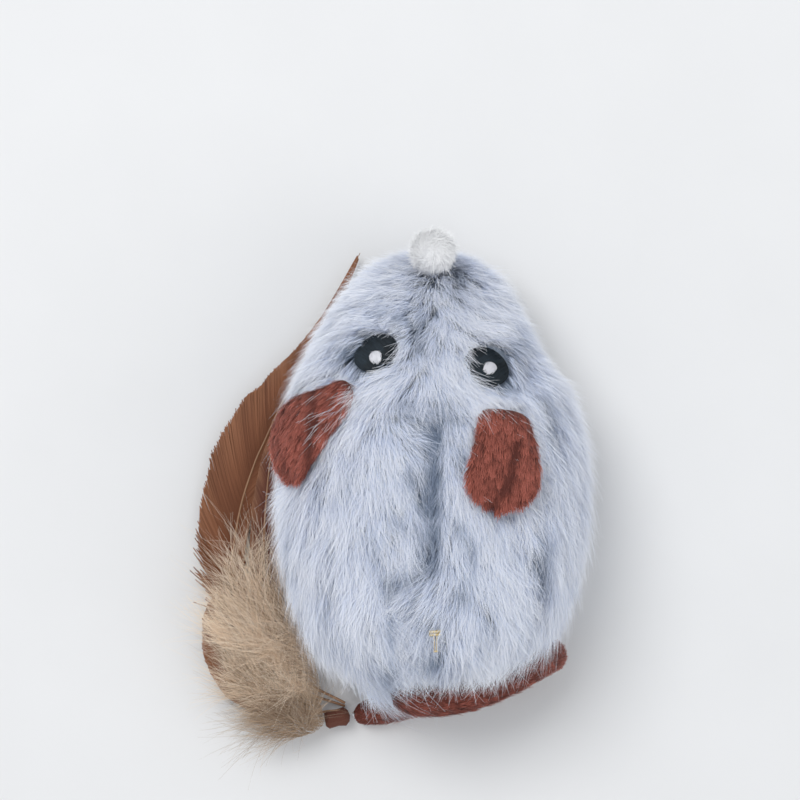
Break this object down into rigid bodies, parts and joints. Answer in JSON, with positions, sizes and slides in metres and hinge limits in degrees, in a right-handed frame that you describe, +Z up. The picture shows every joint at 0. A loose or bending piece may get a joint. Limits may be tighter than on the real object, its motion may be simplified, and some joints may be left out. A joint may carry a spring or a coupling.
{
  "type": "robotic mouse cat toy",
  "caption": "Plush-covered robotic mouse on two driven wheels, with flopping ears and a wire-cored tail that ends in a feather tuft.",
  "frame": {"origin": "on the ground under the middle of the whole part's box", "axes": "+Z up, nose towards -Y, the mouse's left side towards +X"},
  "size_m": [0.0828, 0.1094, 0.055],
  "materials": {
    "pale_plush": "long pile, bluish white tips over a slate undercoat",
    "hem_tape": "woven tape",
    "russet_plush": "short plush",
    "white_plush": "fluffy",
    "black_thread": "satin embroidery",
    "white_thread": "satin embroidery",
    "shell_plastic": "fine moulded texture",
    "case_plastic": "moulded",
    "gear_plastic": "moulded, natural",
    "wheel_plastic": "moulded",
    "rubber": "matt rubber",
    "steel": "bright",
    "can_steel": "plated",
    "board_green": "solder mask",
    "chip_black": "moulded",
    "battery_foil": "foil pouch",
    "lens_clear": "clear",
    "feather_tan": "feather barbs",
    "feather_dark": "feather barbs",
    "down_cream": "down"
  },
  "bodies": {
    "chassis": {"plush_cover": "pale_plush", "cover_hem": "hem_tape", "left_eye": "black_thread", "right_eye": "black_thread", "left_pupil": "white_thread", "right_pupil": "white_thread", "nose_pompom": "white_plush", "lower_shell": "shell_plastic", "upper_shell": "shell_plastic", "battery": "battery_foil", "circuit_board": "board_green", "control_chip": "chip_black", "usb_socket": "steel", "indicator_led": "lens_clear", "switch_body": "chip_black", "tail_anchor": "case_plastic", "tail_wire": "steel", "tail_sleeve": "russet_plush", "case_screw_1": "steel", "case_screw_2": "steel", "case_screw_3": "steel", "case_screw_4": "steel", "left_motor": "can_steel", "left_idler_pin": "steel", "left_gearbox_case": "case_plastic", "left_gearbox_cover": "case_plastic", "right_motor": "can_steel", "right_idler_pin": "steel", "right_gearbox_case": "case_plastic", "right_gearbox_cover": "case_plastic"},
    "left_wheel": {"left_axle": "steel", "left_final_gear": "gear_plastic", "left_wheel_hub": "wheel_plastic", "left_tyre": "rubber"},
    "left_idler": {"left_idler_gear": "gear_plastic"},
    "left_rotor": {"left_motor_shaft": "steel", "left_motor_pinion": "gear_plastic"},
    "left_ear_flap": {"left_ear": "russet_plush"},
    "right_wheel": {"right_axle": "steel", "right_final_gear": "gear_plastic", "right_wheel_hub": "wheel_plastic", "right_tyre": "rubber"},
    "right_idler": {"right_idler_gear": "gear_plastic"},
    "right_rotor": {"right_motor_shaft": "steel", "right_motor_pinion": "gear_plastic"},
    "right_ear_flap": {"right_ear": "russet_plush"},
    "caster_swivel": {"caster_fork": "case_plastic", "caster_pin": "steel"},
    "caster_roller": {"caster_wheel": "wheel_plastic"},
    "switch_knob": {"switch_slider": "gear_plastic"},
    "tuft": {"tuft_binding": "hem_tape", "feather_broad": "feather_tan", "feather_narrow": "feather_dark", "feather_short": "feather_tan", "down_tuft": "down_cream"}
  },
  "joints": [
    {"name": "left_wheel_spin", "type": "hinge", "parent": "chassis", "child": "left_wheel", "pos_m": [-0.00839, 0.00279, 0.0135], "axis": [1, 0, 0], "continuous": true},
    {"name": "left_idler_spin", "type": "hinge", "parent": "chassis", "child": "left_idler", "pos_m": [-0.00839, -0.00505, 0.0165], "axis": [1, 0, 0], "continuous": true},
    {"name": "left_motor_spin", "type": "hinge", "parent": "chassis", "child": "left_rotor", "pos_m": [-0.00839, -0.01369, 0.0148], "axis": [1, 0, 0], "continuous": true},
    {"name": "right_wheel_spin", "type": "hinge", "parent": "chassis", "child": "right_wheel", "pos_m": [-0.00839, 0.00279, 0.0135], "axis": [1, 0, 0], "continuous": true},
    {"name": "right_idler_spin", "type": "hinge", "parent": "chassis", "child": "right_idler", "pos_m": [-0.00839, -0.00505, 0.0165], "axis": [1, 0, 0], "continuous": true},
    {"name": "right_motor_spin", "type": "hinge", "parent": "chassis", "child": "right_rotor", "pos_m": [-0.00839, -0.01369, 0.0148], "axis": [1, 0, 0], "continuous": true},
    {"name": "caster_turn", "type": "hinge", "parent": "chassis", "child": "caster_swivel", "pos_m": [-0.00839, -0.0282, 0], "axis": [0, 0, 1], "continuous": true},
    {"name": "caster_roll", "type": "hinge", "parent": "caster_swivel", "child": "caster_roller", "pos_m": [-0.00839, -0.0262, 0.0042], "axis": [1, 0, 0], "continuous": true},
    {"name": "power_switch_slide", "type": "slide", "parent": "chassis", "child": "switch_knob", "axis": [1, 0, 0], "range_m": [0, 0.002]},
    {"name": "left_ear_fold", "type": "hinge", "parent": "chassis", "child": "left_ear_flap", "pos_m": [0.00923, -0.02263, 0.04137], "axis": [0.6258, -0.5068, -0.5929], "range_deg": [0, 70]},
    {"name": "right_ear_fold", "type": "hinge", "parent": "chassis", "child": "right_ear_flap", "pos_m": [-0.02227, -0.01722, 0.04534], "axis": [0.9654, -0.0977, 0.2418], "range_deg": [0, 70]},
    {"name": "tuft_swing", "type": "hinge", "parent": "chassis", "child": "tuft", "pos_m": [0.0092, 0.05015, 0.0038], "axis": [0, 0, 1], "range_deg": [0, 30]}
  ],
  "couplings": [
    {"joint": "left_idler_spin", "follows": "left_wheel_spin", "ratio": -2.5},
    {"joint": "left_motor_spin", "follows": "left_wheel_spin", "ratio": 6.6667},
    {"joint": "right_idler_spin", "follows": "right_wheel_spin", "ratio": -2.5},
    {"joint": "right_motor_spin", "follows": "right_wheel_spin", "ratio": 6.6667}
  ]
}
